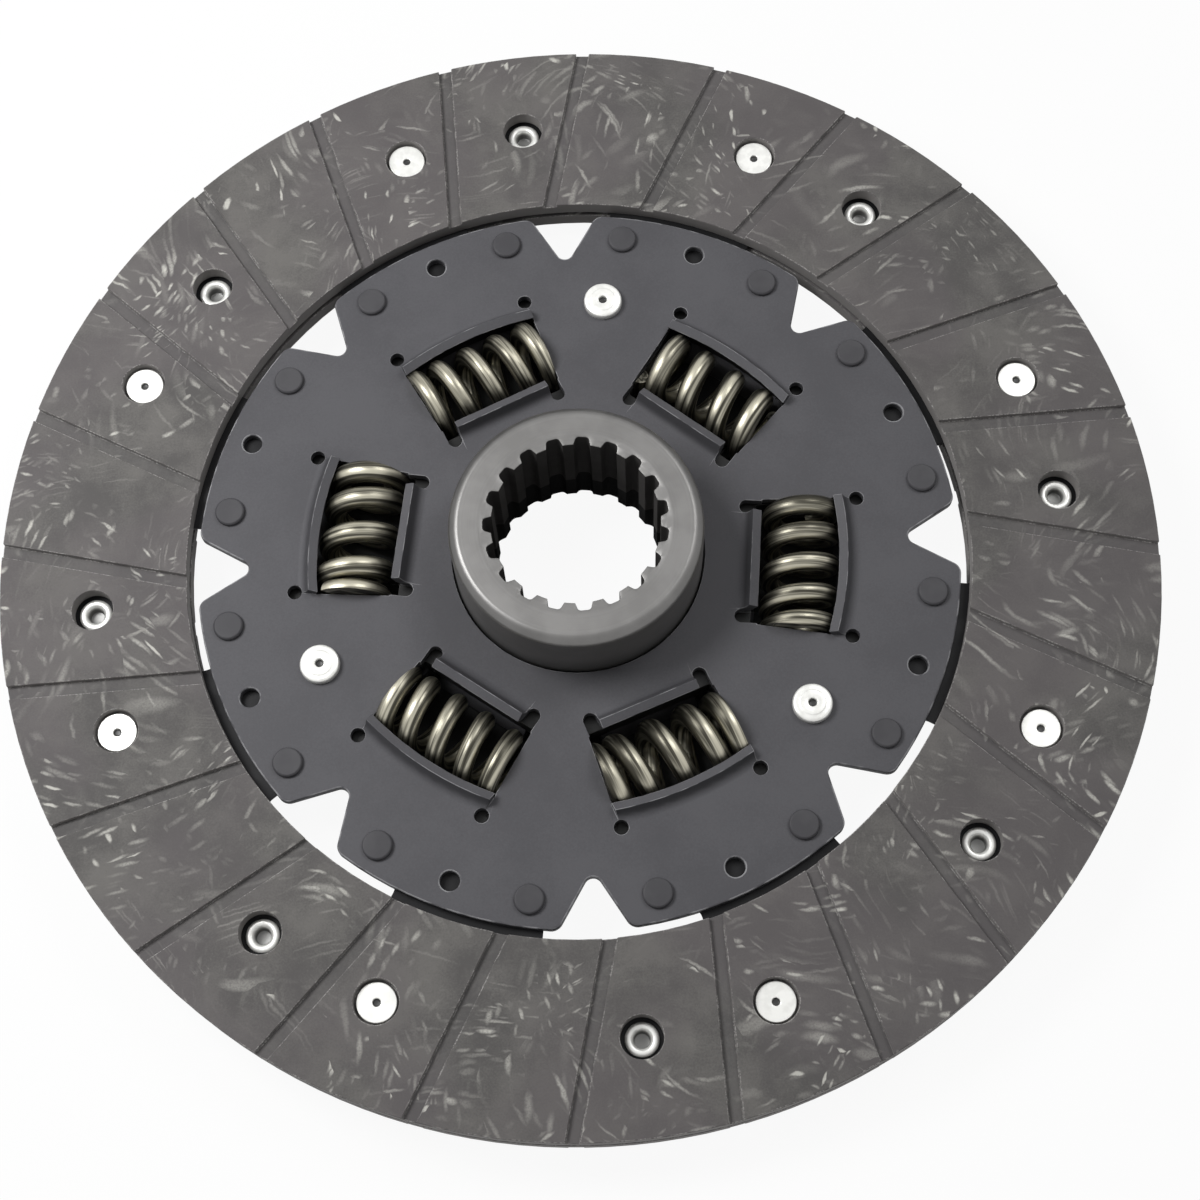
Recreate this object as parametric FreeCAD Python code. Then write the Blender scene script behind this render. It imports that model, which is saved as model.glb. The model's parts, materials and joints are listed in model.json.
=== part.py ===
import FreeCAD, Part
import math
import os

# Dry clutch disc with a sprung hub, in millimetres.
# The origin is on the hub's axis, midway between the two friction faces. +Z points to the side that
# the hub's long boss stands out of, and +X passes through the middle of one rim notch.

# Friction facings: two equal rings, back to back on the cushion segments
facing_outer_d = 240.0
facing_inner_d = 162.6
facing_t = 3.5
facing_gap = 1.3
sectors = 8

# Slanted grooves across each facing's working face
groove_count = 24
groove_w = 2.8
groove_depth = 1.0
groove_offset = 21.0
groove_rim_angle = 12.1

# Facing rivets, one circle of each facing's own rivets and the other facing's clinched ends
facing_rivet_circle_d = 201.8
head_side_angle = 19.85
clinch_side_angle = 4.6
rivet_head_d = 8.0
rivet_head_t = 0.85
rivet_counterbore_d = 9.0
rivet_floor_t = 1.35
rivet_shank_d = 4.8
rivet_clinch_d = 6.5
rivet_clinch_t = 0.85
rivet_clearance_hole_d = 8.5
rivet_bore_d = 3.0
rivet_dimple_d = 1.6
rivet_dimple_depth = 0.5
rivet_hole_gap = 0.05

# Cushion segments: spring steel paddles, each dished from one facing's plane to the other's
segment_t = 0.8
segment_foot_w = 8.5
segment_foot_start_angle = 6.5
segment_neck_start_angle = 15.3
segment_neck_end_angle = 37.6
segment_paddle_end_angle = 57.5
segment_bore_margin = 1.3
segment_rim_margin = 1.8
segment_corner_r = 2.0
segment_step_start = 5.0
segment_step_end = 12.0

# Disc plate, which the segments are riveted to
plate_t = 2.0
plate_rim_gap = 2.0
notch_depth = 10.6
notch_tip_round = 1.8
notch_half_angle = 31.0
notch_corner_round = 2.5
tab_centre_angle = 22.5
tab_rivet_rim_distance = 5.6
tab_rivet_spread_angle = 12.6
tab_rivet_head_d = 6.2
tab_rivet_head_t = 1.0
tab_rivet_head_chamfer = 0.5
tab_rivet_shank_d = 4.0
tab_hole_d = 4.0

# Stop pins, which join the two plates through open slots in the flange
pin_count = 3
pin_first_angle = 82.3
pin_circle_d = 116.1
pin_head_d = 8.2
pin_front_head_t = 2.85
pin_rear_head_t = 2.1
pin_shoulder_d = 6.4
pin_shank_d = 5.0
pin_dimple_d = 1.8
pin_head_chamfer = 0.5
twist_limit_angle = 7.0
stop_clearance = 0.25

# Spring windows, one on each side of every stop pin, in both plates and in the hub's flange
window_from_pin_angle = 31.5
window_inner_x = 33.2
window_inner_half = 13.45
window_outer_x = 55.6
window_outer_half = 15.15
window_arc_r = 72.0
window_slot_w = 2.9
window_slot_inner_x = 33.0
relief_hole_d = 3.0
relief_hole_circle_d = 118.6
relief_hole_angle = 14.87

# Lips bent out of the plates, which hold the springs in their windows
lip_bend_r = 2.2
lip_tilt_angle = 65.0
lip_root = 1.0
outer_lip_crease_x = 58.3
outer_lip_straight = 1.15
inner_lip_crease_x = 33.2
inner_lip_straight = 1.6

# Cover plate on the other side of the hub's flange
cover_d = 129.0
cover_t = 2.0
cover_lip_straight = 0.9

# Hub with its flange and splined bore
boss_d = 51.8
boss_face_z = 19.3
boss_chamfer = 1.6
hub_rear_z = -10.4
hub_rear_chamfer = 0.8
flange_d = 124.4
flange_t = 4.2
flange_window_inner_x = 36.4
flange_window_corner_r = 0.6
flange_window_clearance = 1.2
spline_teeth = 19
spline_phase = 7.8
spline_minor_d = 34.2
spline_major_d = 37.5
spline_groove_half = 1.72
spline_root_half = 1.25
spline_root_round = 0.85
bore_chamfer = 1.0
bore_chamfer_d = 39.4

# Washers that rub on the flange, and the cone spring that presses them
washer_w = 7.1
front_washer_t = 0.8
rear_washer_t = 0.8
cone_spring_t = 0.5
cone_spring_h = 0.9

# Damper springs: light and heavy ones by turns, closed and ground flat at both ends
spring_circle_d = 92.6
spring_outer_d = 16.8
spring_drop = 0.5
spring_end_gap = 0.1
spring_coil_gap = 0.1
spring_spans_per_turn = 12
spring_wire_sides = 6
light_wire_d = 4.0
light_pitch = 6.8
light_half_turns = 2.43
light_active_half_turns = 1.65
heavy_wire_d = 4.6
heavy_pitch = 7.8
heavy_half_turns = 2.25
heavy_active_half_turns = 1.24

# How far each spring lies turned on its own axis, beside every stop pin in turn
heavy_roll_angles = (-155.0, -51.0, 5.0)
light_roll_angles = (-18.0, 69.0, 13.0)

# Clearances, and how far a cutting solid passes what it cuts
running_gap = 0.05
plate_bore_gap = 0.45
washer_bore_gap = 0.3
overrun = 5.0
arc_sweep_angle = 60.0
near = 0.001

# Levels worked out from the sizes above, going from the front to the rear
facing_face_z = facing_gap / 2 + facing_t
plate_rear_z = facing_gap / 2
plate_front_z = plate_rear_z + plate_t
flange_front_z = plate_rear_z - front_washer_t - running_gap
flange_rear_z = flange_front_z - flange_t
rear_washer_z = flange_rear_z - running_gap - rear_washer_t
cover_front_z = rear_washer_z - cone_spring_h
cover_rear_z = cover_front_z - cover_t
spring_centre_z = (flange_front_z + flange_rear_z) / 2 + spring_drop
plate_r = facing_inner_d / 2 - plate_rim_gap
boss_r = boss_d / 2
flange_r = flange_d / 2
plate_bore_r = boss_r + plate_bore_gap
washer_bore_r = boss_r + washer_bore_gap
washer_r = washer_bore_r + washer_w
rivet_r = facing_rivet_circle_d / 2
tab_rivet_r = plate_r - tab_rivet_rim_distance
foot_inner_r = tab_rivet_r - segment_foot_w / 2
foot_outer_r = tab_rivet_r + segment_foot_w / 2
pin_r = pin_circle_d / 2
paddle_inner_r = facing_inner_d / 2 + segment_bore_margin
paddle_outer_r = facing_outer_d / 2 - segment_rim_margin
sector_angle = 360.0 / sectors
pin_step_angle = 360.0 / pin_count
window_angles = [pin_first_angle + pin_step_angle * pin + side * window_from_pin_angle
                 for pin in range(pin_count) for side in (-1, 1)]
origin = FreeCAD.Vector(0, 0, 0)
z_axis = FreeCAD.Vector(0, 0, 1)


def polar(radius, degrees, z=0.0):
    angle = math.radians(degrees)
    return FreeCAD.Vector(radius * math.cos(angle), radius * math.sin(angle), z)


def turned(shape, degrees):
    copy = shape.copy()
    copy.rotate(origin, z_axis, degrees)
    return copy


def around(shape, count, first=0.0):
    return [turned(shape, first + 360.0 * i / count) for i in range(count)]


def at_windows(shape):
    return [turned(shape, angle) for angle in window_angles]


def cylinder(diameter, z_low, z_high, centre=origin):
    base = FreeCAD.Vector(centre.x, centre.y, z_low)
    return Part.makeCylinder(diameter / 2, z_high - z_low, base, z_axis)


def ring(inner_d, outer_d, z_low, z_high):
    return cylinder(outer_d, z_low, z_high).cut(cylinder(inner_d, z_low - overrun, z_high + overrun))


def revolved(outline, degrees=360.0, start=0.0):
    """Solid of revolution about Z of an outline given as (radius, z) pairs."""
    points = [FreeCAD.Vector(r, 0, z) for r, z in outline]
    face = Part.Face(Part.makePolygon(points + points[:1]))
    return turned(face.revolve(origin, z_axis, degrees), start)


def prism(outline, z_low, z_high):
    """Upright prism of an outline given as (x, y) pairs."""
    points = [FreeCAD.Vector(x, y, z_low) for x, y in outline]
    face = Part.Face(Part.makePolygon(points + points[:1]))
    return face.extrude(FreeCAD.Vector(0, 0, z_high - z_low))


def sector(r_low, r_high, angle_low, angle_high, z_low, z_high):
    outline = [(r_low, z_low), (r_high, z_low), (r_high, z_high), (r_low, z_high)]
    return revolved(outline, angle_high - angle_low, angle_low)


def upright_edges(shape, wanted):
    """Edges along Z whose foot (x, y) the test accepts."""
    found = []
    for edge in shape.Edges:
        if len(edge.Vertexes) != 2:
            continue
        low, high = edge.Vertexes[0].Point, edge.Vertexes[1].Point
        upright = math.hypot(high.x - low.x, high.y - low.y) < near
        if upright and wanted(low.x, low.y):
            found.append(edge)
    return found


def facing():
    """One facing in the front position, with its own rivets' seats and the other's access holes."""
    z_low = plate_rear_z
    body = ring(facing_inner_d, facing_outer_d, z_low, facing_face_z)
    rim_r = facing_outer_d / 2
    groove = Part.makeBox(rim_r + overrun, groove_w, groove_depth + overrun,
                          FreeCAD.Vector(0, groove_offset - groove_w / 2, facing_face_z - groove_depth))
    line_angle = groove_rim_angle - math.degrees(math.asin(groove_offset / rim_r))
    cuts = around(groove, groove_count, line_angle)
    seat = polar(rivet_r, head_side_angle)
    floor_z = z_low + rivet_floor_t
    top_z = facing_face_z + overrun
    head_seat = cylinder(rivet_counterbore_d, floor_z, top_z, seat)
    shank_hole = cylinder(rivet_shank_d + 2 * rivet_hole_gap, z_low - overrun, top_z, seat)
    access = cylinder(rivet_clearance_hole_d, z_low - overrun, top_z, polar(rivet_r, clinch_side_angle))
    for cutter in (head_seat, shank_hole, access):
        cuts += around(cutter, sectors)
    return body.cut(cuts)


def facing_rivets():
    """The front facing's tubular rivets, clinched on the far side of the segments."""
    head_z = plate_rear_z + rivet_floor_t
    segment_rear_z = plate_rear_z - segment_t
    clinch_z = segment_rear_z - rivet_clinch_t
    head_r = rivet_head_d / 2
    shank_r = rivet_shank_d / 2
    clinch_r = rivet_clinch_d / 2
    dimple_z = head_z + rivet_head_t - rivet_dimple_depth
    bore_r, bore_z = rivet_bore_d / 2, head_z - rivet_head_t
    outline = [(0, dimple_z), (rivet_dimple_d / 2, head_z + rivet_head_t), (head_r, head_z + rivet_head_t),
               (head_r, head_z), (shank_r, head_z), (shank_r, segment_rear_z), (clinch_r, segment_rear_z),
               (bore_r, clinch_z), (bore_r, bore_z), (0, bore_z)]
    rivet = revolved(outline)
    rivet.translate(polar(rivet_r, head_side_angle))
    return Part.makeCompound(around(rivet, sectors))


def turned_over(shape):
    """The same piece on the other face: turned half round about the line between the two rivet angles."""
    copy = shape.copy()
    copy.rotate(origin, polar(1.0, (head_side_angle + clinch_side_angle) / 2), 180)
    return copy


def segment_outline():
    """Plan of one cushion segment: a foot under the disc plate's tab, a neck and a paddle."""
    z_low, z_high = -facing_face_z, facing_face_z
    start, end = segment_neck_start_angle, segment_neck_end_angle
    foot = sector(foot_inner_r, foot_outer_r, segment_foot_start_angle, end, z_low, z_high)
    neck = sector(foot_inner_r, paddle_outer_r, start, end, z_low, z_high)
    paddle = sector(paddle_inner_r, paddle_outer_r, start, segment_paddle_end_angle, z_low, z_high)
    plan = foot.fuse([neck, paddle]).removeSplitter()
    corners = upright_edges(plan, lambda x, y: True)
    return plan.makeFillet(segment_corner_r, corners)


def cushion_segment():
    """Sheet that lies on the front facing at its own rivet and on the rear facing at the next one."""
    middle = (segment_neck_start_angle + segment_paddle_end_angle) / 2
    top, bottom = plate_rear_z, -plate_rear_z
    high, low = top - segment_t, bottom + segment_t
    span = facing_outer_d / 2
    start, end = segment_step_start, segment_step_end
    outline = [(-span, top), (start, top), (end, low), (span, low), (span, bottom), (end, bottom),
               (start, high), (-span, high)]
    points = [FreeCAD.Vector(0, x, z) for x, z in outline]
    sheet = Part.Face(Part.makePolygon(points + points[:1])).extrude(FreeCAD.Vector(span, 0, 0))
    shape = turned(sheet, middle).common(segment_outline())
    rivet_angles = (head_side_angle, clinch_side_angle + sector_angle)
    holes = [hole_at(rivet_r, angle, rivet_shank_d) for angle in rivet_angles]
    return shape.cut(holes + tab_rivet_holes())


def hole_at(radius, degrees, shank_d):
    """Through hole for a rivet shank."""
    reach = facing_face_z + overrun
    return cylinder(shank_d + 2 * rivet_hole_gap, -reach, reach, polar(radius, degrees))


def tab_rivet_holes():
    """The two holes of one tab."""
    angles = [tab_centre_angle + side * tab_rivet_spread_angle for side in (-1, 1)]
    return [hole_at(tab_rivet_r, angle, tab_rivet_shank_d) for angle in angles]


def window_half(x):
    """Half the window's width at a distance x from the axis along its middle line."""
    outer_x = arc_x(window_outer_x, window_outer_half)
    slope = (window_outer_half - window_inner_half) / (outer_x - window_inner_x)
    return window_inner_half + slope * (x - window_inner_x)


def arc_x(crown_x, y):
    """Distance x at a height y on the window's outer arc, which crosses the middle line at crown_x."""
    return crown_x - window_arc_r + math.sqrt(window_arc_r ** 2 - y ** 2)


def window_block(inner_x, outer_x, z_low, z_high):
    """Window on the +X axis with straight sides, closed outside by its arc."""
    far = outer_x + overrun
    sides = [(inner_x, -window_half(inner_x)), (far, -window_half(far)), (far, window_half(far)),
             (inner_x, window_half(inner_x))]
    arc_centre = FreeCAD.Vector(outer_x - window_arc_r, 0, 0)
    return prism(sides, z_low, z_high).common(cylinder(2 * window_arc_r, z_low, z_high, arc_centre))


def relief_holes(z_low, z_high):
    places = [polar(relief_hole_circle_d / 2, side * relief_hole_angle) for side in (-1, 1)]
    return [cylinder(relief_hole_d, z_low, z_high, place) for place in places]


def inner_lip_half():
    """Half the inner lip's width, which the slots beside it leave."""
    return window_half(window_slot_inner_x + window_slot_w / 2) - window_slot_w


def plate_window(inner_end_x, outer_end_x, z_low, z_high):
    """Everything that is pierced for one window: the window, its two slots and the zones of the lips."""
    window = window_block(inner_end_x, window_outer_x, z_low, z_high)
    slot_end = window_slot_inner_x + window_slot_w / 2
    slot_far = inner_end_x + overrun
    lip_half = inner_lip_half()
    cuts = relief_holes(z_low, z_high)
    for side in (-1, 1):
        lip_y, wall_y = side * lip_half, side * (lip_half + window_slot_w)
        slot = [(slot_end, lip_y), (slot_far, lip_y), (slot_far, wall_y), (slot_end, wall_y)]
        middle = FreeCAD.Vector(slot_end, (lip_y + wall_y) / 2, 0)
        cuts += [prism(slot, z_low, z_high), cylinder(window_slot_w, z_low, z_high, middle)]
    inner_zone = [(inner_lip_crease_x, -lip_half), (slot_far, -lip_half), (slot_far, lip_half),
                  (inner_lip_crease_x, lip_half)]
    cuts.append(prism(inner_zone, z_low, z_high))
    outer_zone = [(outer_end_x, z_low), (outer_lip_crease_x, z_low), (outer_lip_crease_x, z_high),
                  (outer_end_x, z_high)]
    points = [FreeCAD.Vector(x, 0, z) for x, z in outer_zone]
    cuts.append(arched(Part.Face(Part.makePolygon(points + points[:1]))))
    return window.fuse(cuts)


def arched(section):
    """Section in the XZ plane swept along the outer arc as far as the window is wide."""
    face = section.copy()
    axis_point = FreeCAD.Vector(outer_lip_crease_x - window_arc_r, 0, 0)
    face.rotate(axis_point, z_axis, -arc_sweep_angle / 2)
    swept = face.revolve(axis_point, z_axis, arc_sweep_angle)
    size = facing_outer_d
    width = 2 * window_outer_half
    return swept.common(Part.makeBox(size, width, size, FreeCAD.Vector(0, -width / 2, -size / 2)))


def lip_section(crease_x, direction, straight, z_low, z_high):
    """Section in the XZ plane of a lip bent up from a plate between z_low and z_high, and its end's x."""
    tilt = math.radians(lip_tilt_angle)
    front_r, rear_r = lip_bend_r, lip_bend_r + z_high - z_low

    def on_bend(radius, turn, run=0.0):
        x = radius * math.sin(turn) + run * math.cos(turn)
        z = z_high + lip_bend_r - radius * math.cos(turn) + run * math.sin(turn)
        return FreeCAD.Vector(crease_x + direction * x, 0, z)

    front = Part.Arc(on_bend(front_r, 0), on_bend(front_r, tilt / 2), on_bend(front_r, tilt)).toShape()
    rear = Part.Arc(on_bend(rear_r, tilt), on_bend(rear_r, tilt / 2), on_bend(rear_r, 0)).toShape()
    end = on_bend(rear_r, tilt, straight)
    edge = Part.makePolygon([on_bend(front_r, tilt), on_bend(front_r, tilt, straight), end,
                             on_bend(rear_r, tilt)])
    root_x = crease_x - direction * lip_root
    root = Part.makePolygon([on_bend(rear_r, 0), FreeCAD.Vector(root_x, 0, z_low),
                             FreeCAD.Vector(root_x, 0, z_high), on_bend(front_r, 0)])
    return Part.Face(Part.Wire([front] + edge.Edges + [rear] + root.Edges)), end.x


def windowed(plate, z_low, z_high, inner_straight, outer_straight):
    """Plate lying from z_low to z_high with its windows pierced and their lips bent up."""
    inner_face, inner_end_x = lip_section(inner_lip_crease_x, 1, inner_straight, z_low, z_high)
    outer_face, outer_end_x = lip_section(outer_lip_crease_x, -1, outer_straight, z_low, z_high)
    opening = plate_window(inner_end_x, outer_end_x, z_low - overrun, z_high + overrun)
    pierced = plate.cut(at_windows(opening))
    lip_half = inner_lip_half()
    inner_face.translate(FreeCAD.Vector(0, -lip_half, 0))
    inner = inner_face.extrude(FreeCAD.Vector(0, 2 * lip_half, 0))
    outer = arched(outer_face).cut(relief_holes(z_low - overrun, z_high + overrun))
    return pierced.fuse(at_windows(inner) + at_windows(outer)).removeSplitter()


def notch(z_low, z_high):
    """V notch on the +X axis with a round tip."""
    angle = math.radians(notch_half_angle)
    tip_x = plate_r - notch_depth
    centre_x = tip_x + notch_tip_round
    touch_x = centre_x - notch_tip_round * math.sin(angle)
    touch_y = notch_tip_round * math.cos(angle)
    far_x = plate_r + overrun
    far_y = touch_y + (far_x - touch_x) * math.tan(angle)
    tip = Part.Arc(FreeCAD.Vector(touch_x, touch_y, z_low), FreeCAD.Vector(tip_x, 0, z_low),
                   FreeCAD.Vector(touch_x, -touch_y, z_low)).toShape()
    lines = Part.makePolygon([FreeCAD.Vector(touch_x, -touch_y, z_low), FreeCAD.Vector(far_x, -far_y, z_low),
                              FreeCAD.Vector(far_x, far_y, z_low), FreeCAD.Vector(touch_x, touch_y, z_low)])
    face = Part.Face(Part.Wire([tip] + lines.Edges))
    return face.extrude(FreeCAD.Vector(0, 0, z_high - z_low))


def disc_plate():
    z_low, z_high = plate_rear_z, plate_front_z
    disc = cylinder(2 * plate_r, z_low, z_high)
    disc = disc.cut(around(notch(z_low - overrun, z_high + overrun), sectors))
    corners = upright_edges(disc, lambda x, y: abs(math.hypot(x, y) - plate_r) < near)
    disc = disc.makeFillet(notch_corner_round, corners)
    cuts = [cylinder(2 * plate_bore_r, z_low - overrun, z_high + overrun)]
    tab_hole = cylinder(tab_hole_d, z_low - overrun, z_high + overrun, polar(tab_rivet_r, tab_centre_angle))
    for hole in [tab_hole] + tab_rivet_holes():
        cuts += around(hole, sectors)
    cuts += pin_holes(z_low, z_high)
    return windowed(disc.cut(cuts), z_low, z_high, inner_lip_straight, outer_lip_straight)


def pin_holes(z_low, z_high):
    hole = cylinder(pin_shank_d, z_low - overrun, z_high + overrun, polar(pin_r, pin_first_angle))
    return around(hole, pin_count)


def cover_plate():
    """Built as if its lips rose to +Z, then turned over about the line through a stop pin."""
    z_low, z_high = -cover_front_z, -cover_rear_z
    disc = ring(2 * plate_bore_r, cover_d, z_low, z_high)
    plate = windowed(disc, z_low, z_high, cover_lip_straight, cover_lip_straight)
    plate.rotate(origin, polar(1.0, pin_first_angle), 180)
    return plate.cut(pin_holes(cover_rear_z, cover_front_z))


def spline_groove():
    """One groove of the splined bore, along the whole hub, with a rounded root."""
    mouth_x = spline_minor_d / 2
    tip_x = mouth_x - overrun
    root_x = spline_major_d / 2
    outline = [(tip_x, -spline_groove_half), (mouth_x, -spline_groove_half), (root_x, -spline_root_half),
               (root_x, spline_root_half), (mouth_x, spline_groove_half), (tip_x, spline_groove_half)]
    groove = prism(outline, hub_rear_z - overrun, boss_face_z + overrun)
    roots = upright_edges(groove, lambda x, y: abs(x - root_x) < near)
    return groove.makeFillet(spline_root_round, roots)


def hub():
    """Boss, flange and bore turned in one piece, then splined and pierced."""
    minor_r = spline_minor_d / 2
    mouth_r = bore_chamfer_d / 2
    mouth_depth = bore_chamfer + mouth_r - minor_r
    outline = [(minor_r, hub_rear_z + mouth_depth), (mouth_r, hub_rear_z),
               (boss_r - hub_rear_chamfer, hub_rear_z), (boss_r, hub_rear_z + hub_rear_chamfer),
               (boss_r, flange_rear_z), (flange_r, flange_rear_z), (flange_r, flange_front_z),
               (boss_r, flange_front_z), (boss_r, boss_face_z - boss_chamfer),
               (boss_r - boss_chamfer, boss_face_z), (mouth_r, boss_face_z),
               (minor_r, boss_face_z - mouth_depth)]
    body = revolved(outline)
    cuts = around(spline_groove(), spline_teeth, spline_phase)
    window = window_block(flange_window_inner_x, window_outer_x + flange_window_clearance,
                          flange_rear_z - overrun, flange_front_z + overrun)
    window = window.makeFillet(flange_window_corner_r, upright_edges(window, lambda x, y: True))
    cuts += at_windows(window)
    cuts += around(stop_slot(), pin_count, pin_first_angle)
    return body.cut(cuts)


def stop_slot():
    """Slot in the flange, open at its rim, that lets a stop pin travel to each twist limit."""
    reach_angle = math.degrees(math.asin((pin_shoulder_d / 2 + stop_clearance) / pin_r))
    half = twist_limit_angle + reach_angle
    floor_r = pin_r - pin_shoulder_d / 2 - stop_clearance
    low, high = flange_rear_z - overrun, flange_front_z + overrun
    return sector(floor_r, flange_r + overrun, -half, half, low, high)


def front_washer():
    return ring(2 * washer_bore_r, 2 * washer_r, plate_rear_z - front_washer_t, plate_rear_z)


def rear_washer():
    return ring(2 * washer_bore_r, 2 * washer_r, rear_washer_z, rear_washer_z + rear_washer_t)


def cone_spring():
    """Dished spring washer: its inner edge on the rear washer, its outer edge on the cover plate."""
    inner_r = washer_bore_r + washer_bore_gap
    top, bottom = rear_washer_z, cover_front_z
    return revolved([(inner_r, top), (washer_r, bottom + cone_spring_t), (washer_r, bottom),
                     (inner_r, top - cone_spring_t)])


def stop_pins():
    """Shouldered pins with a head formed on each side."""
    head_r, shoulder_r, shank_r = pin_head_d / 2, pin_shoulder_d / 2, pin_shank_d / 2
    top = plate_front_z + pin_front_head_t
    bottom = cover_rear_z - pin_rear_head_t
    dimple_r = pin_dimple_d / 2
    outline = [(0, bottom), (head_r - pin_head_chamfer, bottom), (head_r, bottom + pin_head_chamfer),
               (head_r, cover_rear_z), (shank_r, cover_rear_z), (shank_r, cover_front_z),
               (shoulder_r, cover_front_z), (shoulder_r, plate_rear_z), (shank_r, plate_rear_z),
               (shank_r, plate_front_z), (head_r, plate_front_z), (head_r, top - pin_head_chamfer),
               (head_r - pin_head_chamfer, top), (dimple_r, top), (0, top - dimple_r)]
    pin = revolved(outline)
    pin.translate(polar(pin_r, pin_first_angle))
    return Part.makeCompound(around(pin, pin_count))


def segment_rivets():
    """Two rivets in each tab, with a low head on the plate and a formed head behind the foot."""
    head_r, shank_r = tab_rivet_head_d / 2, tab_rivet_shank_d / 2
    foot_rear_z = plate_rear_z - segment_t
    top_z, bottom_z = plate_front_z + tab_rivet_head_t, foot_rear_z - tab_rivet_head_t
    crown_r = head_r - tab_rivet_head_chamfer
    outline = [(0, bottom_z), (crown_r, bottom_z), (head_r, bottom_z + tab_rivet_head_chamfer),
               (head_r, foot_rear_z), (shank_r, foot_rear_z), (shank_r, plate_front_z),
               (head_r, plate_front_z), (head_r, top_z - tab_rivet_head_chamfer), (crown_r, top_z),
               (0, top_z)]
    rivets = []
    for side in (-1, 1):
        rivet = revolved(outline)
        rivet.translate(polar(tab_rivet_r, tab_centre_angle + side * tab_rivet_spread_angle))
        rivets += around(rivet, sectors)
    return Part.makeCompound(rivets)


def spring_height(turns, active_half_turns, pitch, end_pitch):
    """Distance of the wire's centre from the spring's middle after a number of turns."""
    inner = min(abs(turns), active_half_turns)
    outer = abs(turns) - inner
    return math.copysign(inner * pitch + outer * end_pitch, turns)


def wire_section(wire_d, angle, height):
    """Section of the wire at an angle about the spring's axis, which lies along Y."""
    coil_r = (spring_outer_d - wire_d) / 2
    outward = FreeCAD.Vector(math.sin(angle), 0, math.cos(angle))
    along = FreeCAD.Vector(0, 1, 0)
    centre = outward * coil_r + along * height
    wire_r = wire_d / 2
    points = []
    for side in range(spring_wire_sides):
        turn = 2 * math.pi * side / spring_wire_sides
        points.append(centre + outward * (wire_r * math.cos(turn)) + along * (wire_r * math.sin(turn)))
    return Part.makePolygon(points + points[:1])


def damper_spring(wire_d, pitch, half_turns, active_half_turns, roll_angle):
    """Right-handed coil spring lying across the +X axis, its ends ground to the window's sides."""
    spans = round(2 * half_turns * spring_spans_per_turn)
    sections = []
    for i in range(spans + 1):
        turns = half_turns * (2 * i / spans - 1)
        height = spring_height(turns, active_half_turns, pitch, wire_d + spring_coil_gap)
        sections.append(wire_section(wire_d, 2 * math.pi * turns + math.radians(roll_angle), height))
    coil = Part.makeLoft(sections, True, True)
    centre_r = spring_circle_d / 2
    coil.translate(FreeCAD.Vector(centre_r, 0, spring_centre_z))
    near_x, far_x = centre_r - spring_outer_d, centre_r + spring_outer_d
    near_half, far_half = window_half(near_x) - spring_end_gap, window_half(far_x) - spring_end_gap
    between = prism([(near_x, -near_half), (far_x, -far_half), (far_x, far_half), (near_x, near_half)],
                    spring_centre_z - spring_outer_d, spring_centre_z + spring_outer_d)
    return coil.common(between)


def heavy_spring(roll_angle):
    return damper_spring(heavy_wire_d, heavy_pitch, heavy_half_turns, heavy_active_half_turns, roll_angle)


def light_spring(roll_angle):
    return damper_spring(light_wire_d, light_pitch, light_half_turns, light_active_half_turns, roll_angle)


def build():
    """Every piece of the clutch disc under its node name."""
    front = facing()
    front_rivets = facing_rivets()
    nodes = {
        "hub": hub(),
        "disc_plate": disc_plate(),
        "cover_plate": cover_plate(),
        "front_facing": front,
        "rear_facing": turned_over(front),
        "front_facing_rivets": front_rivets,
        "rear_facing_rivets": turned_over(front_rivets),
        "segment_rivets": segment_rivets(),
        "stop_pins": stop_pins(),
        "friction_washer_front": front_washer(),
        "friction_washer_rear": rear_washer(),
        "cone_spring": cone_spring(),
    }
    for number, shape in enumerate(around(cushion_segment(), sectors), 1):
        nodes["cushion_segment_%d" % number] = shape
    springs = []
    for heavy_angle, light_angle in zip(heavy_roll_angles, light_roll_angles):
        springs += [heavy_spring(heavy_angle), light_spring(light_angle)]
    for number, (angle, spring) in enumerate(zip(window_angles, springs), 1):
        nodes["damper_spring_%d" % number] = turned(spring, angle)
    return nodes


os.makedirs("parts", exist_ok=True)
for name, shape in build().items():
    shape.exportStep("parts/%s.step" % name)
    print(name, "solids", len(shape.Solids), "valid", shape.isValid(), "volume %.1f" % shape.Volume)
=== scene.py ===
import json
import math

import bmesh
import bpy
from mathutils import Matrix, Vector
from mathutils.geometry import delaunay_2d_cdt


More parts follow.
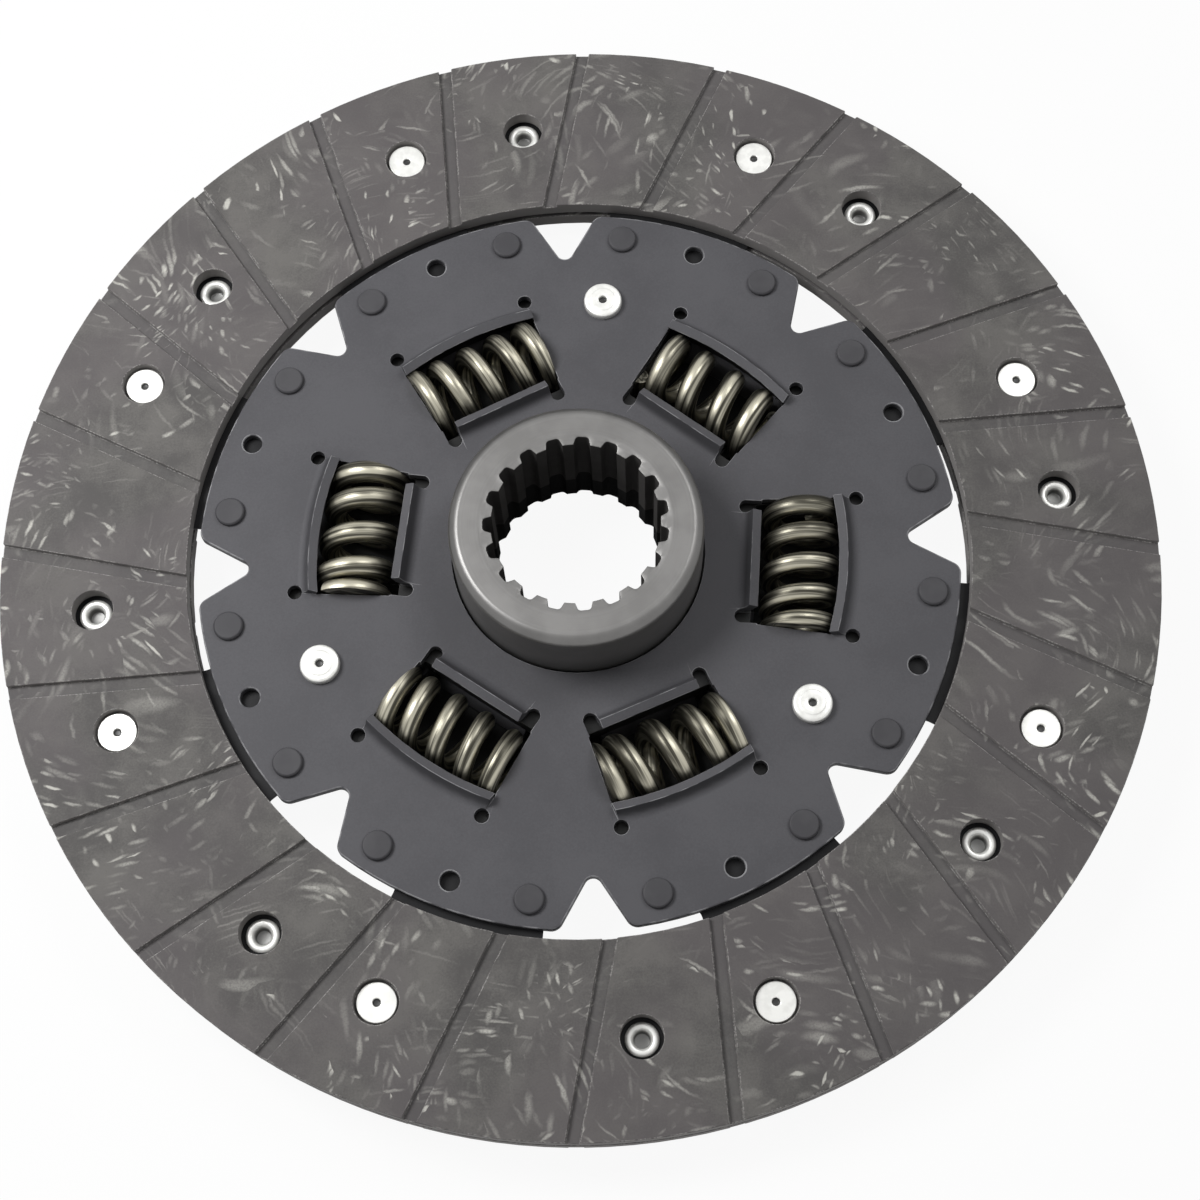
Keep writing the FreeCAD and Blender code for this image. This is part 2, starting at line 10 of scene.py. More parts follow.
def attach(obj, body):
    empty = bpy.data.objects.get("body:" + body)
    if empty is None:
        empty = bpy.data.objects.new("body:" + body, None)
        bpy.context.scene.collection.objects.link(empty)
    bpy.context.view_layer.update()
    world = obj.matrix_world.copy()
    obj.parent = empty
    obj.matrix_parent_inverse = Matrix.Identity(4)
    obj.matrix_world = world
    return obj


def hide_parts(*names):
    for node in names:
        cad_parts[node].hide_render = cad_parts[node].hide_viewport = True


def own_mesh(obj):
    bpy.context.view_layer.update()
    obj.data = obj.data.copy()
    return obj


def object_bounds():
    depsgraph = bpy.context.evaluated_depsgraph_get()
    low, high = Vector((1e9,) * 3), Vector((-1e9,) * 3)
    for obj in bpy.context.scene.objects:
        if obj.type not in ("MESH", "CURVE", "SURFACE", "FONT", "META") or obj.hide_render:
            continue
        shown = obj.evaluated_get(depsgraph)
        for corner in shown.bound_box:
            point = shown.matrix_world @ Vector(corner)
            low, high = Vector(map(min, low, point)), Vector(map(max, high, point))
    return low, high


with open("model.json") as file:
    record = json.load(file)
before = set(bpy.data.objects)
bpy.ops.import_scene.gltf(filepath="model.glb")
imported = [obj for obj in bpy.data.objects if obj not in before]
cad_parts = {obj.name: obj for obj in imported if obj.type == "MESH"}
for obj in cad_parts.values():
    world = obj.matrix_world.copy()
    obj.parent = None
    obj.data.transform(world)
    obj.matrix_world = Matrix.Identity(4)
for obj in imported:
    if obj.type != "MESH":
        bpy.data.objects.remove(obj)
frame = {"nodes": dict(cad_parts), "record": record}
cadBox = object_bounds()
mm = 0.001
bodyOf = {node: body for body, nodes in frame["record"]["behaviour"]["bodies"].items() for node in nodes}
slotOf = {part["node"]: part["material_slot"] for part in frame["record"]["subparts"]}
print("frame loaded:", len(frame["nodes"]), "nodes")


# Node helpers. Inputs may be values or sockets.
def addNode(tree, kind, options=None, **inputs):
    made = tree.nodes.new("ShaderNode" + kind)
    for name, value in (options or {}).items():
        setattr(made, name, value)
    for name, value in inputs.items():
        connect(tree, made.inputs[name], value)
    return made


def connect(tree, socket, value):
    if isinstance(value, bpy.types.NodeSocket):
        tree.links.new(value, socket)
    else:
        socket.default_value = value


def calc(tree, operation, first, second=0.0, clamp=False):
    made = tree.nodes.new("ShaderNodeMath")
    made.operation = operation
    made.use_clamp = clamp
    connect(tree, made.inputs[0], first)
    connect(tree, made.inputs[1], second)
    return made.outputs[0]


def moved(tree, operation, first, second):
    made = tree.nodes.new("ShaderNodeVectorMath")
    made.operation = operation
    connect(tree, made.inputs[0], first)
    connect(tree, made.inputs["Scale" if operation == "SCALE" else 1], second)
    return made.outputs[0]


def blended(tree, factor, first, second):
    made = tree.nodes.new("ShaderNodeMix")
    made.data_type = "RGBA"
    connect(tree, made.inputs[0], factor)
    connect(tree, made.inputs[6], first)
    connect(tree, made.inputs[7], second)
    return made.outputs[2]


def ranged(tree, value, low, high, newLow=0.0, newHigh=1.0):
    made = addNode(tree, "MapRange", {"interpolation_type": "SMOOTHSTEP"}, Value=value)
    for name, number in (("From Min", low), ("From Max", high), ("To Min", newLow), ("To Max", newHigh)):
        made.inputs[name].default_value = number
    return made.outputs["Result"]


def noise(tree, coords, scale, detail=2.0, roughness=0.5, output="Fac"):
    made = addNode(tree, "TexNoise", Vector=coords, Scale=scale, Detail=detail, Roughness=roughness)
    return made.outputs[output]


def newMaterial(name, metallic=0.0, roughness=0.5):
    made = bpy.data.materials.new(name)
    made.use_nodes = True
    shader = made.node_tree.nodes["Principled BSDF"]
    shader.inputs["Metallic"].default_value = metallic
    shader.inputs["Roughness"].default_value = roughness
    return made, made.node_tree, shader


def cells(tree, coords):
    return addNode(tree, "TexVoronoi", Vector=coords, Scale=1.0, Randomness=1.0)


def channel(tree, colour, index=0):
    return addNode(tree, "SeparateColor", Color=colour).outputs[index]


# Object coordinates in millimetres, and the same as a radius and a height
def millimetres(tree):
    coords = addNode(tree, "TexCoord").outputs["Object"]
    return moved(tree, "SCALE", coords, 1 / mm)


def cylindrical(tree, coords):
    parts = addNode(tree, "SeparateXYZ", Vector=coords)
    flat = addNode(tree, "CombineXYZ", X=parts.outputs[0], Y=parts.outputs[1])
    radius = addNode(tree, "VectorMath", {"operation": "LENGTH"})
    tree.links.new(flat.outputs[0], radius.inputs[0])
    return radius.outputs["Value"], parts.outputs[2]


def bumped(tree, shader, height, strength, distance=0.1 * mm):
    bump = addNode(tree, "Bump", Strength=strength, Distance=distance, Height=height)
    tree.links.new(bump.outputs[0], shader.inputs["Normal"])


# 0 where a face stands upright, 1 where it lies flat
def slant(tree, low, high):
    facing = addNode(tree, "SeparateXYZ", Vector=addNode(tree, "TexCoord").outputs["Normal"]).outputs[2]
    return ranged(tree, calc(tree, "ABSOLUTE", facing), low, high)


def attribute(tree, name, output="Fac"):
    return addNode(tree, "Attribute", {"attribute_name": name}).outputs[output]


# Materials
liningLook = {
    "dark": (0.088, 0.084, 0.082, 1), "light": (0.144, 0.138, 0.131, 1), "violet": (0.116, 0.105, 0.108, 1),
    "fibre": (0.52, 0.51, 0.47, 1), "edge": (0.32, 0.31, 0.30, 1), "floor": (0.085, 0.082, 0.084, 1),
    "wallLight": (0.21, 0.20, 0.195, 1), "floorZ": 3.6, "grooveShadeShare": 0.3, "roughness": 0.7, "specular": 0.25,
    "bend": 26.0, "shake": 0.7,
    "kinds": ("patch", "length", "width", "offset", "share", "strength", "rare"),
    "layers": (
        (24.0, 6.4, 1.9, 0.0, 0.6, 0.42, 0.25),
        (17.0, 4.4, 1.2, 41.0, 0.45, 1.0, 0.25),
        (31.0, 14.0, 3.4, 83.0, 0.5, 0.28, 0.25),
        (27.0, 11.0, 1.0, 127.0, 0.5, 0.36, 0.25),
        (18.0, 6.0, 1.7, 211.0, 0.9, 0.7, 0.5),
    ),
}


# Short strokes of fibre, which lie in one direction within each patch
def strokes(tree, coords, layer):
    shifted = moved(tree, "ADD", coords, (layer["offset"], 0.6 * layer["offset"], 0.0))
    patches = cells(tree, moved(tree, "SCALE", shifted, 1 / layer["patch"]))
    angle = calc(tree, "MULTIPLY", channel(tree, patches.outputs["Color"]), 6.28)
    turned = addNode(tree, "VectorRotate", {"rotation_type": "Z_AXIS"}, Vector=shifted, Angle=angle)
    stretched = moved(tree, "MULTIPLY", turned.outputs[0], (1 / layer["length"], 1 / layer["width"], 0.0))
    dashes = cells(tree, stretched)
    shape = ranged(tree, dashes.outputs["Distance"], 0.10, 0.42, 1.0, 0.0)
    chosen = ranged(tree, channel(tree, dashes.outputs["Color"]), 1 - layer["share"], 1.0)
    rare = layer["rare"]
    kept = ranged(tree, channel(tree, patches.outputs["Color"], 1), rare, rare + 0.3, 0.05, 1.1)
    strength = calc(tree, "MULTIPLY", calc(tree, "MULTIPLY", shape, chosen), kept)
    return calc(tree, "MULTIPLY", strength, layer["strength"])


def liningMaterial(look):
    made, tree, shader = newMaterial("frictionLining", roughness=look["roughness"])
    coords = millimetres(tree)
    drift = noise(tree, coords, 0.035, 0.0, output="Color")
    bent = moved(tree, "ADD", coords, moved(tree, "SCALE", drift, look["bend"]))
    shake = noise(tree, coords, 0.6, 1.0, output="Color")
    bent = moved(tree, "ADD", bent, moved(tree, "SCALE", shake, look["shake"]))
    layers = [dict(zip(look["kinds"], values)) for values in look["layers"]]
    fibres = strokes(tree, bent, layers[0])
    for layer in layers[1:]:
        fibres = calc(tree, "MAXIMUM", fibres, strokes(tree, bent, layer))
    grain = noise(tree, coords, 2.4, 3.0, 0.65)
    cloud = noise(tree, coords, 0.09, 4.0, 0.6)
    mottle = calc(tree, "ADD", calc(tree, "MULTIPLY", grain, 0.3), calc(tree, "MULTIPLY", cloud, 0.7))
    base = blended(tree, ranged(tree, mottle, 0.36, 0.64), look["dark"], look["light"])
    tinge = ranged(tree, noise(tree, coords, 0.03, 2.0), 0.4, 0.6, 0.0, 0.6)
    base = blended(tree, tinge, base, look["violet"])
    gathered = ranged(tree, noise(tree, coords, 0.055, 1.0), 0.4, 0.6, 0.4, 1.5)
    fibres = calc(tree, "MULTIPLY", fibres, gathered)
    streaks = calc(tree, "MULTIPLY", fibres, ranged(tree, grain, 0.3, 0.6, 0.55, 1.0), clamp=True)
    colour = blended(tree, streaks, base, look["fibre"])
    height = addNode(tree, "SeparateXYZ", Vector=coords).outputs[2]
    # Painted shade: groove floors below floorZ are blended towards the floor colour.
    sunk = calc(tree, "LESS_THAN", calc(tree, "ABSOLUTE", height), look["floorZ"])
    colour = blended(tree, calc(tree, "MULTIPLY", sunk, look["grooveShadeShare"]), colour, look["floor"])
    # Painted light: upright groove walls, which stand in shade, are lightened towards the wall colour.
    colour = blended(tree, calc(tree, "SUBTRACT", 1.0, slant(tree, 0.2, 0.6)), colour, look["wallLight"])
    # Lighter broken edges on the bevels: partly wear, partly painted highlight.
    chips = ranged(tree, noise(tree, coords, 0.3, 2.0), 0.38, 0.6)
    frayedAndSheen = calc(tree, "MULTIPLY", ranged(tree, grain, 0.4, 0.6), chips)
    wearDirtAndSheen = calc(tree, "MULTIPLY", attribute(tree, "edge"), frayedAndSheen)
    colour = blended(tree, wearDirtAndSheen, colour, look["edge"])
    tree.links.new(colour, shader.inputs["Base Color"])
    shader.inputs["Specular IOR Level"].default_value = look["specular"]
    bumped(tree, shader, grain, 0.12)
    return made


plateLook = {
    "dark": (0.082, 0.081, 0.088, 1), "light": (0.100, 0.099, 0.107, 1), "edge": (0.26, 0.26, 0.27, 1),
    "slope": (0.040, 0.040, 0.043, 1), "slopeShadeShare": 0.6, "roughness": 0.5, "specular": 0.15,
}


def plateMaterial(look):
    made, tree, shader = newMaterial("plateSteel")
    coords = millimetres(tree)
    cloud = noise(tree, coords, 0.05, 3.0, 0.6)
    fine = noise(tree, coords, 2.5, 2.0)
    tone = calc(tree, "ADD", calc(tree, "MULTIPLY", cloud, 0.7), calc(tree, "MULTIPLY", fine, 0.3))
    colour = blended(tree, ranged(tree, tone, 0.35, 0.65), look["dark"], look["light"])
    # Painted shade: faces that tilt away from flat, such as the lips' slopes, are darkened towards the slope
    # colour.
    slope = calc(tree, "MULTIPLY", calc(tree, "SUBTRACT", 1.0, slant(tree, 0.6, 0.97)), look["slopeShadeShare"])
    colour = blended(tree, slope, colour, look["slope"])
    # Painted highlight: the bevelled edges are lightened in patches towards the edge colour.
    sheenPatches = ranged(tree, noise(tree, coords, 0.25, 3.0), 0.4, 0.6)
    wearDirtAndSheen = calc(tree, "MULTIPLY", attribute(tree, "edge"), sheenPatches)
    tree.links.new(blended(tree, wearDirtAndSheen, colour, look["edge"]), shader.inputs["Base Color"])
    tree.links.new(ranged(tree, cloud, 0.3, 0.7, look["roughness"] - 0.05, look["roughness"] + 0.06),
                   shader.inputs["Roughness"])
    shader.inputs["Specular IOR Level"].default_value = look["specular"]
    bumped(tree, shader, fine, 0.06)
    return made


hubLook = {
    "face": (0.182, 0.179, 0.175, 1), "barrel": (0.15, 0.146, 0.143, 1), "bore": (0.078, 0.075, 0.073, 1),
    "flange": (0.03, 0.03, 0.03, 1), "roughness": 0.42, "ring": 0.35, "flangeZ": 1.0, "boreRadius": 19.0,
    "sideMetal": 0.45, "deepFrom": 2.6, "deepTo": 9.0, "baseShade": 0.45, "soil": 0.16,
}


def hubMaterial(look):
    made, tree, shader = newMaterial("hubSteel")
    coords = millimetres(tree)
    radius, height = cylindrical(tree, coords)
    along = calc(tree, "ADD", radius, height)
    rings = addNode(tree, "TexNoise", {"noise_dimensions": "1D"}, W=along, Scale=1 / look["ring"], Detail=2.0)
    cloud = noise(tree, coords, 0.12, 3.0, 0.6)
    turned = slant(tree, 0.25, 0.5)
    # Painted shade: the barrel darkens towards the flange colour near its foot.
    baseShade = ranged(tree, height, look["deepFrom"], look["deepTo"], look["baseShade"], 0.0)
    barrel = blended(tree, baseShade, look["barrel"], look["flange"])
    # Painted shade: the upright walls inside boreRadius take the dark bore colour, with no metal and no
    # specular.
    outside = calc(tree, "GREATER_THAN", radius, look["boreRadius"])
    sides = blended(tree, outside, look["bore"], barrel)
    colour = blended(tree, turned, sides, look["face"])
    # Painted shade: everything below flangeZ, the flange between the plates, is near black.
    colour = blended(tree, calc(tree, "LESS_THAN", height, look["flangeZ"]), colour, look["flange"])
    lines = rings.outputs["Fac"]
    shade = calc(tree, "ADD", calc(tree, "MULTIPLY", cloud, 0.8), calc(tree, "MULTIPLY", lines, 0.2))
    wearDirtAndSheen = blended(tree, ranged(tree, shade, 0.35, 0.65, 0.0, look["soil"]), colour, (0.0, 0.0, 0.0, 1))
    tree.links.new(wearDirtAndSheen, shader.inputs["Base Color"])
    metal = calc(tree, "MULTIPLY", outside, look["sideMetal"])
    tree.links.new(calc(tree, "MAXIMUM", turned, metal), shader.inputs["Metallic"])
    shine = calc(tree, "MULTIPLY", calc(tree, "MAXIMUM", turned, outside), 0.5)
    tree.links.new(shine, shader.inputs["Specular IOR Level"])
    shader.inputs["Roughness"].default_value = look["roughness"]
    bumped(tree, shader, lines, 0.02, 0.05 * mm)
    return made


zincLook = {
    "dark": (0.78, 0.78, 0.75, 1), "light": (0.87, 0.87, 0.84, 1), "recessShade": (0.03, 0.03, 0.03, 1),
    "roughness": 0.36,
}


def zincMaterial(look):
    made, tree, shader = newMaterial("zincPlate", metallic=0.4, roughness=look["roughness"])
    coords = millimetres(tree)
    spots = noise(tree, coords, 0.5, 2.0, 0.5)
    colour = blended(tree, ranged(tree, spots, 0.35, 0.6), look["dark"], look["light"])
    # Painted shade: the dimples, pits and rolled bores marked as recesses are darkened.
    colour = blended(tree, attribute(tree, "recessShade"), colour, look["recessShade"])
    tree.links.new(colour, shader.inputs["Base Color"])
    bumped(tree, shader, spots, 0.03)
    return made


wireLook = {"dark": (0.052, 0.049, 0.039, 1), "light": (0.47, 0.447, 0.361, 1), "roughness": 0.38}


def wireMaterial(look):
    made, tree, shader = newMaterial("springWire", metallic=1.0, roughness=look["roughness"])
    coords = millimetres(tree)
    girth = moved(tree, "SCALE", attribute(tree, "around", "Vector"), 1.9)
    drawn = noise(tree, moved(tree, "ADD", girth, moved(tree, "SCALE", coords, 0.04)), 1.0, 2.5, 0.6)
    colour = blended(tree, ranged(tree, drawn, 0.40, 0.64), look["dark"], look["light"])
    tree.links.new(colour, shader.inputs["Base Color"])
    return made


# Painted shade: the spring sheet is near black, so that it reads as shade through the tab holes; the washer
# takes the same look.
sheetLook = {
    "dark": (0.008, 0.008, 0.009, 1), "light": (0.013, 0.013, 0.014, 1), "metal": 0.2, "roughness": 0.5,
    "specular": 0.2,
}
rivetLook = {
    "dark": (0.058, 0.057, 0.062, 1), "light": (0.070, 0.069, 0.074, 1), "metal": 0.0, "roughness": 0.5,
    "specular": 0.2,
}


def sheetMaterial(look):
    made, tree, shader = newMaterial("springSheet", metallic=look["metal"], roughness=look["roughness"])
    coords = millimetres(tree)
    cloud = noise(tree, coords, 0.15, 3.0, 0.6)
    colour = blended(tree, ranged(tree, cloud, 0.35, 0.65), look["dark"], look["light"])
    tree.links.new(colour, shader.inputs["Base Color"])
    shader.inputs["Specular IOR Level"].default_value = look["specular"]
    return made


materials = {
    "friction_lining": liningMaterial(liningLook), "plate_steel": plateMaterial(plateLook),
    "hub_steel": hubMaterial(hubLook), "zinc_rivet": zincMaterial(zincLook),
    "spring_wire": wireMaterial(wireLook), "spring_sheet": sheetMaterial(sheetLook),
    "dark_rivet": sheetMaterial(rivetLook), "washer_plastic": sheetMaterial(sheetLook),
}
for name, node in frame["nodes"].items():
    node.data.materials.clear()
    node.data.materials.append(materials[slotOf[name]])
print("materials made:", len(materials))


# Mesh helpers. Sizes in the settings are in millimetres, angles in degrees.
def newPiece(name, mesh, body, nodes, slot):
    piece = bpy.data.objects.new(name, mesh)
    bpy.context.scene.collection.objects.link(piece)
    mesh.materials.clear()
    mesh.materials.append(materials[slot])
    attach(piece, body)
    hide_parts(*nodes)
    return piece


# A zone is a ring between two radii and two heights, with its own width of broken edge
def bevelWidth(edge, look):
    for inner, outer, low, high, width in look.get("zones", ()):
        places = [(vert.co.xy.length / mm, vert.co.z / mm) for vert in edge.verts]
        if all(inner < radius < outer and low < z < high for radius, z in places):
            return width
    return look["bevel"]


def bevelled(bm, look):
    # The edge layer marks bevel faces, where edge wear and painted highlight go.
    wearDirtAndSheen = bm.faces.layers.float.new("edge")
    groups = {}
    for edge in bm.edges:
        if edge.is_manifold and edge.calc_face_angle() > math.radians(look["sharp"]):
            groups.setdefault(bevelWidth(edge, look), []).append(edge)
    for width in sorted(groups, reverse=True):
        made = bmesh.ops.bevel(
            bm, geom=groups[width], offset=width * mm, offset_type="OFFSET", segments=look["segments"],
            profile=0.5, affect="EDGES", clamp_overlap=False, loop_slide=False, material=-1)
        for face in made["faces"]:
            face[wearDirtAndSheen] = 1.0


def finished(bm, name, sharp=42, turn=True):
    if turn:
        bmesh.ops.recalc_face_normals(bm, faces=bm.faces[:])
    mesh = bpy.data.meshes.new(name)
    bm.to_mesh(mesh)
    bm.free()
    mesh.shade_smooth()
    mesh.set_sharp_from_angle(angle=math.radians(sharp))
    return mesh


def weighted(piece):
    modifier = piece.modifiers.new("weightedNormals", "WEIGHTED_NORMAL")
    modifier.keep_sharp = True
    modifier.weight = 80


cornerLook = {"fold": 50, "widest": 140, "slack": 1e-6, "reach": 1.1}


# Edges of a flat side's outline that meet at a point
def outlineEdges(vert):
    return [edge for edge in vert.link_edges
            if edge.is_manifold and edge.calc_face_angle() > math.radians(cornerLook["fold"])
            and abs(edge.verts[0].co.z - edge.verts[1].co.z) < cornerLook["slack"]]


# Draws the short steps of a curve that are nearer to a sharp corner than reach into that corner
def cleared(bm, reach):
    merged = {}
    for vert in bm.verts:
        outline = outlineEdges(vert)
        if len(outline) != 2 or vert in merged:
            continue
        arms = [edge.other_vert(vert).co - vert.co for edge in outline]
        if arms[0].angle(arms[1]) > math.radians(cornerLook["widest"]):
            continue
        for edge in outline:
            near = edge.other_vert(vert)
            while (near.co - vert.co).length < reach and near not in merged:
                merged[near] = vert
                steps = [other for other in outlineEdges(near) if other != edge]
                if len(steps) != 1:
                    break
                edge = steps[0]
                near = edge.other_vert(near)
    for vert in list(merged):
        if merged[vert] in merged:
            del merged[vert]
    bmesh.ops.weld_verts(bm, targetmap=merged)


def sidesOf(face):
    return [tuple(sorted(pair)) for pair in zip(face, face[1:] + face[:1])]


# From the outer border inwards, each border that is crossed leads from metal to a hole, or back
def solidFaces(faces, borders):
    neighbours = {}
    for index, face in enumerate(faces):
        for side in sidesOf(face):
            neighbours.setdefault(side, []).append(index)
    solid = {indices[0]: True for indices in neighbours.values() if len(indices) == 1}
    pending = list(solid)
    while pending:
        index = pending.pop()
        for side in sidesOf(faces[index]):
            for other in neighbours[side]:
                if other not in solid:
                    solid[other] = solid[index] != (side in borders)
                    pending.append(other)
    return [face for index, face in enumerate(faces) if solid[index]]


# Fills the flat side at one level again, with even triangles between its outlines
def flattened(bm, level):
    def onLevel(item, slack):
        return all(abs(vert.co.z / mm - level) < slack for vert in item.verts)

    flat = [face for face in bm.faces if onLevel(face, 0.002)]
    upward = sum(face.normal.z for face in flat) > 0
    bmesh.ops.delete(bm, geom=flat, context="FACES")
    outline = [edge for edge in bm.edges if edge.is_boundary and onLevel(edge, 0.01)]
    verts = list({vert: 0 for edge in outline for vert in edge.verts})
    places = {vert: index for index, vert in enumerate(verts)}
    points = [Vector((vert.co.x / mm, vert.co.y / mm)) for vert in verts]
    pairs = [tuple(places[vert] for vert in edge.verts) for edge in outline]
    found, edges, faces, sources, edgeSources, _ = delaunay_2d_cdt(points, pairs, [], 1, 1e-5)
    borders = {tuple(sorted(edge)) for edge, source in zip(edges, edgeSources) if source}
    corners = [verts[source[0]] if source else bm.verts.new((point.x * mm, point.y * mm, level * mm))
               for point, source in zip(found, sources)]
    for face in solidFaces(faces, borders):
        ring = [corners[corner] for corner in face]
        bm.faces.new(ring if upward else ring[::-1])


# Draws the lead-in cone of the bore shallow
def openMouth(bm, look):
    for vert in bm.verts:
        inward = look["radius"] - vert.co.xy.length / mm
        below = look["z"] - vert.co.z / mm
        if inward > 0 and abs(below - look["solidSlope"] * inward) < 0.05:
            vert.co.z = (look["z"] - look["slope"] * inward) * mm


def refined(node, look):
    bm = bmesh.new()
    bm.from_mesh(frame["nodes"][node].data)
    bmesh.ops.remove_doubles(bm, verts=bm.verts[:], dist=0.002 * mm)
    if "mouth" in look:
        openMouth(bm, look["mouth"])
    if "levels" in look:
        cleared(bm, cornerLook["reach"] * look["bevel"] * mm)
    bevelled(bm, look)
    for level in look.get("levels", ()):
        flattened(bm, level)
    mesh = finished(bm, node, look["smooth"], turn=False)
    piece = newPiece(node + "_shape", mesh, bodyOf[node], [node], slotOf[node])
    weighted(piece)
    print(node, "refined:", len(piece.data.polygons), "faces")


def spun(outline, look):
    bm = bmesh.new()
    points = [bm.verts.new((r * mm, 0, z * mm)) for r, z in outline]
    lines = [bm.edges.new(pair) for pair in zip(points, points[1:])]
    bmesh.ops.spin(bm, geom=points + lines, cent=(0, 0, 0), axis=(0, 0, 1), angle=2 * math.pi,
                   steps=look["steps"], use_merge=True, use_duplicate=False)
    bmesh.ops.remove_doubles(bm, verts=bm.verts[:], dist=0.001 * mm)
    bmesh.ops.recalc_face_normals(bm, faces=bm.faces[:])
    bevelled(bm, look)
    # Painted shade: vertices in the listed recesses get their share of dark colour.
    layer = bm.verts.layers.float.new("recessShade")
    for vert in bm.verts:
        radius, z = vert.co.xy.length / mm, vert.co.z / mm
        for outer, low, high, share in look["recesses"]:
            if radius < outer and low < z < high:
                vert[layer] = share
    return finished(bm, "turned")


def repeated(unit, places, name):
    bm = bmesh.new()
    for place in places:
        start = len(bm.verts)
        bm.from_mesh(unit)
        bm.verts.ensure_lookup_table()
        bmesh.ops.transform(bm, matrix=place, verts=bm.verts[start:])
    mesh = finished(bm, name)
    bpy.data.meshes.remove(unit)
    return mesh


def aroundAxis(radius, degrees):
    return Matrix.Rotation(math.radians(degrees), 4, "Z") @ Matrix.Translation((radius * mm, 0, 0))


def turnedOver(degrees):
    line = (math.cos(math.radians(degrees)), math.sin(math.radians(degrees)), 0)
    return Matrix.Rotation(math.pi, 4, line)


# Hub, plates, facings and cushion segments: copies of the solids with their edges broken
edgeLooks = {
    "hub": {"bevel": 0.16, "segments": 3, "sharp": 30, "smooth": 25, "zones": ((23, 26.5, 17, 20, 0.6),),
            "mouth": {"radius": 19.7, "z": 19.3, "solidSlope": 3.6 / 2.6, "slope": 0.12}},
    "disc_plate": {"bevel": 0.12, "segments": 2, "sharp": 50, "smooth": 20, "levels": (2.65, 0.65),
                   "zones": ((62, 90, -1, 4, 0.32),)},
    "cover_plate": {"bevel": 0.12, "segments": 2, "sharp": 50, "smooth": 20, "levels": (-6.15, -8.15)},
    "front_facing": {"bevel": 0.2, "segments": 2, "sharp": 50, "smooth": 42, "levels": (4.15, 0.65)},
    "rear_facing": {"bevel": 0.2, "segments": 2, "sharp": 50, "smooth": 42, "levels": (-4.15, -0.65)},
    "cone_spring": {"bevel": 0.08, "segments": 2, "sharp": 50, "smooth": 42},
}
for name in frame["nodes"]:
    if name.startswith("cushion_segment"):
        edgeLooks[name] = {"bevel": 0.1, "segments": 2, "sharp": 50, "smooth": 42}
for name, look in edgeLooks.items():
    refined(name, look)


# Facing rivets, with a dimpled head in a counterbore and a rolled end on the other side
facingRivetLook = {
    "radius": 100.9, "angle": 19.85, "foldLine": 12.225, "count": 8, "headZ": 2.0, "head": 4.0,
    "headRise": 0.85, "dimple": 0.85, "dimpleDepth": 0.6, "shank": 2.4, "bore": 1.85, "rollZ": -0.15,
    "roll": 3.45, "rollDepth": 0.9,
    "steps": 40, "bevel": 0.17, "segments": 3, "sharp": 25,
    "recesses": ((0.8, 2.0, 2.7, 1.0), (1.9, -0.3, 1.9, 0.8)),
}


def makeFacingRivets(look):
    top = look["headZ"] + look["headRise"]
    low = look["rollZ"] - look["rollDepth"]
    lip = (look["roll"] + look["bore"]) / 2
    dent, bore, roll = top - look["dimpleDepth"], look["bore"], look["roll"]
    outline = [
        (0, dent), (look["dimple"] * 0.8, dent), (look["dimple"], top), (look["head"], top),
        (look["head"], look["headZ"]), (look["shank"], look["headZ"]), (look["shank"], look["rollZ"]),
        (roll - 0.15, look["rollZ"]), (roll, low + 0.45), (roll - 0.35, low + 0.1), (lip, low),
        (bore + 0.3, low + 0.1), (bore, low + 0.5), (bore - 0.3, low + 1.2), (bore - 0.3, top - 1.2),
        (0, top - 1.2),
    ]
    for side, turn in (("front", Matrix.Identity(4)), ("rear", turnedOver(look["foldLine"]))):
        step = 360 / look["count"]
        places = [turn @ aroundAxis(look["radius"], look["angle"] + step * i) for i in range(look["count"])]
        mesh = repeated(spun(outline, look), places, side + "FacingRivets")
        node = side + "_facing_rivets"
        weighted(newPiece(node + "_shape", mesh, "disc", [node], slotOf[node]))


makeFacingRivets(facingRivetLook)
print("facing rivets made")


# Tab rivets, two in each tab of the disc plate
tabRivetLook = {
    "radius": 73.7, "angle": 22.5, "spread": 12.6, "count": 8, "plateZ": 2.65, "footZ": -0.15, "head": 3.1,
    "rise": 1.0, "edge": 0.35, "shank": 2.0, "steps": 40, "bevel": 0.12, "segments": 2, "sharp": 25,
    "recesses": (),
}


def makeTabRivets(look):
    top, low = look["plateZ"] + look["rise"], look["footZ"] - look["rise"]
    crown = look["head"] - look["edge"]
    outline = [
        (0, top), (crown, top), (look["head"], top - look["edge"]), (look["head"], look["plateZ"]),
        (look["shank"], look["plateZ"]), (look["shank"], look["footZ"]), (look["head"], look["footZ"]),
        (look["head"], low + look["edge"]), (crown, low), (0, low),
    ]
    places = [
        aroundAxis(look["radius"], look["angle"] + side * look["spread"] + 360 / look["count"] * i)
        for side in (-1, 1) for i in range(look["count"])
    ]
    mesh = repeated(spun(outline, look), places, "tabRivets")
    weighted(newPiece("segment_rivets_shape", mesh, "disc", ["segment_rivets"], "dark_rivet"))


makeTabRivets(tabRivetLook)
print("tab rivets made")


# Stop pins, with a low round-edged front head and a pit in its middle
pinLook = {
    "radius": 58.05, "angle": 82.3, "count": 3, "plateZ": 2.65, "rise": 1.7, "coverZ": -8.15,
    "rearRise": 2.1, "coverFront": -6.15, "plateRear": 0.65, "head": 4.1, "round": 0.6, "edge": 0.45,
    "step": 2.6, "stepRise": 0.12, "pit": 0.95, "pitDepth": 0.85, "shoulder": 3.2, "shank": 2.5,
    "steps": 48, "bevel": 0.12, "segments": 2, "sharp": 14, "recesses": ((0.75, 3.0, 3.9, 1.0),),
}


